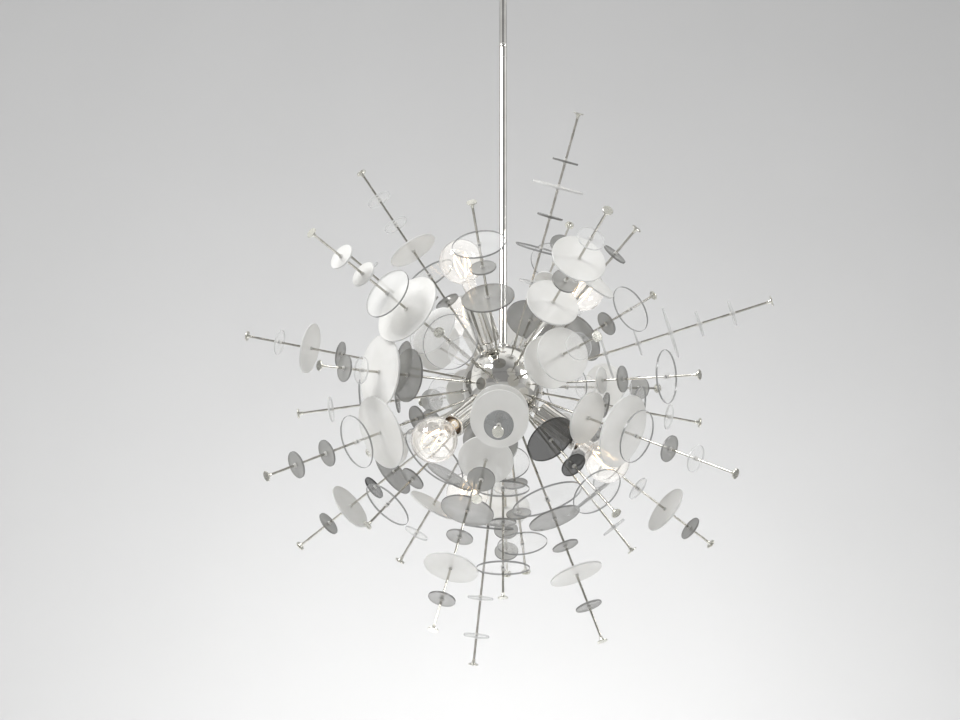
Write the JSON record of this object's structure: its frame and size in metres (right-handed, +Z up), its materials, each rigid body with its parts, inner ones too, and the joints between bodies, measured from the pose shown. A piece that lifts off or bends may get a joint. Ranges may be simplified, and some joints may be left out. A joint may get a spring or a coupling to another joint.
{
  "type": "multi arm chandelier",
  "caption": "Starburst chandelier: a polished ball on a hung stem, with thin radial rods that carry acrylic discs, and globe lamps in long cups between them.",
  "frame": {"origin": "middle of the ceiling strap's top face, on the ceiling", "axes": "+Z up out of the ceiling strap's top face, along the stem; +X along the strap"},
  "size_m": [0.6794, 0.6492, 1.0157],
  "materials": {
    "polished_nickel": "polished nickel plate, slightly warm",
    "zinc_steel": "zinc plated steel",
    "clear_acrylic": "clear, frosted, white and smoke acrylic discs on nickel rods",
    "frosted_acrylic": "frosted acrylic",
    "white_acrylic": "opal white acrylic",
    "smoke_acrylic": "smoke grey acrylic",
    "lamp_glass": "clear glass globe",
    "socket_liner": "brown lampholder insert",
    "lamp_brass": "screw shell of the lamp",
    "filament": "glowing filament"
  },
  "bodies": {
    "ceiling": {"ceiling_strap": "zinc_steel", "ceiling_canopy": "polished_nickel", "canopy_nut": "polished_nickel"},
    "swivel": {"swivel_block": "zinc_steel"},
    "fixture": {"upper_stem": "polished_nickel", "lower_stem": "polished_nickel", "hub_upper_shell": "polished_nickel", "hub_lower_shell": "polished_nickel", "socket_upper_1": "polished_nickel", "socket_upper_2": "polished_nickel", "socket_upper_3": "polished_nickel", "socket_lower_1": "polished_nickel", "socket_lower_2": "polished_nickel", "socket_lower_3": "polished_nickel", "spoke_crown_1": "clear_acrylic", "spoke_crown_2": "clear_acrylic", "spoke_crown_3": "clear_acrylic", "spoke_upper_1": "clear_acrylic", "spoke_upper_2": "clear_acrylic", "spoke_upper_3": "clear_acrylic", "spoke_upper_4": "clear_acrylic", "spoke_upper_5": "clear_acrylic", "spoke_upper_6": "clear_acrylic", "spoke_shoulder_1": "clear_acrylic", "spoke_shoulder_2": "clear_acrylic", "spoke_shoulder_3": "clear_acrylic", "spoke_shoulder_4": "clear_acrylic", "spoke_shoulder_5": "clear_acrylic", "spoke_shoulder_6": "clear_acrylic", "spoke_waist_1": "clear_acrylic", "spoke_waist_2": "clear_acrylic", "spoke_waist_3": "clear_acrylic", "spoke_waist_4": "clear_acrylic", "spoke_waist_5": "clear_acrylic", "spoke_waist_6": "clear_acrylic", "spoke_waist_7": "clear_acrylic", "spoke_waist_8": "clear_acrylic", "spoke_waist_9": "clear_acrylic", "spoke_skirt_1": "clear_acrylic", "spoke_skirt_2": "clear_acrylic", "spoke_skirt_3": "clear_acrylic", "spoke_skirt_4": "clear_acrylic", "spoke_skirt_5": "clear_acrylic", "spoke_skirt_6": "clear_acrylic", "spoke_lower_1": "clear_acrylic", "spoke_lower_2": "clear_acrylic", "spoke_lower_3": "clear_acrylic", "spoke_lower_4": "clear_acrylic", "spoke_lower_5": "clear_acrylic", "spoke_lower_6": "clear_acrylic", "spoke_foot_1": "clear_acrylic", "spoke_foot_2": "clear_acrylic", "spoke_foot_3": "clear_acrylic", "spoke_nadir_1": "clear_acrylic"},
    "bulb_upper_1": {"lamp_upper_1": "lamp_glass"},
    "bulb_upper_2": {"lamp_upper_2": "lamp_glass"},
    "bulb_upper_3": {"lamp_upper_3": "lamp_glass"},
    "bulb_lower_1": {"lamp_lower_1": "lamp_glass"},
    "bulb_lower_2": {"lamp_lower_2": "lamp_glass"},
    "bulb_lower_3": {"lamp_lower_3": "lamp_glass"}
  },
  "joints": [
    {"name": "swing_x", "type": "hinge", "parent": "ceiling", "child": "swivel", "pos_m": [0, 0, -0.014], "axis": [1, 0, 0], "range_deg": [-20, 20]},
    {"name": "swing_y", "type": "hinge", "parent": "swivel", "child": "fixture", "pos_m": [0, 0, -0.014], "axis": [0, 1, 0], "range_deg": [-20, 20]},
    {"name": "lamp_out_upper_1", "type": "slide", "parent": "fixture", "child": "bulb_upper_1", "axis": [0.6157, 0, 0.788], "range_m": [0, 0.016]},
    {"name": "lamp_out_upper_2", "type": "slide", "parent": "fixture", "child": "bulb_upper_2", "axis": [-0.3078, 0.5332, 0.788], "range_m": [0, 0.016]},
    {"name": "lamp_out_upper_3", "type": "slide", "parent": "fixture", "child": "bulb_upper_3", "axis": [-0.3078, -0.5332, 0.788], "range_m": [0, 0.016]},
    {"name": "lamp_out_lower_1", "type": "slide", "parent": "fixture", "child": "bulb_lower_1", "axis": [-0.2785, 0.7255, -0.6293], "range_m": [0, 0.016]},
    {"name": "lamp_out_lower_2", "type": "slide", "parent": "fixture", "child": "bulb_lower_2", "axis": [-0.4891, -0.604, -0.6293], "range_m": [0, 0.016]},
    {"name": "lamp_out_lower_3", "type": "slide", "parent": "fixture", "child": "bulb_lower_3", "axis": [0.7676, -0.1216, -0.6293], "range_m": [0, 0.016]}
  ]
}
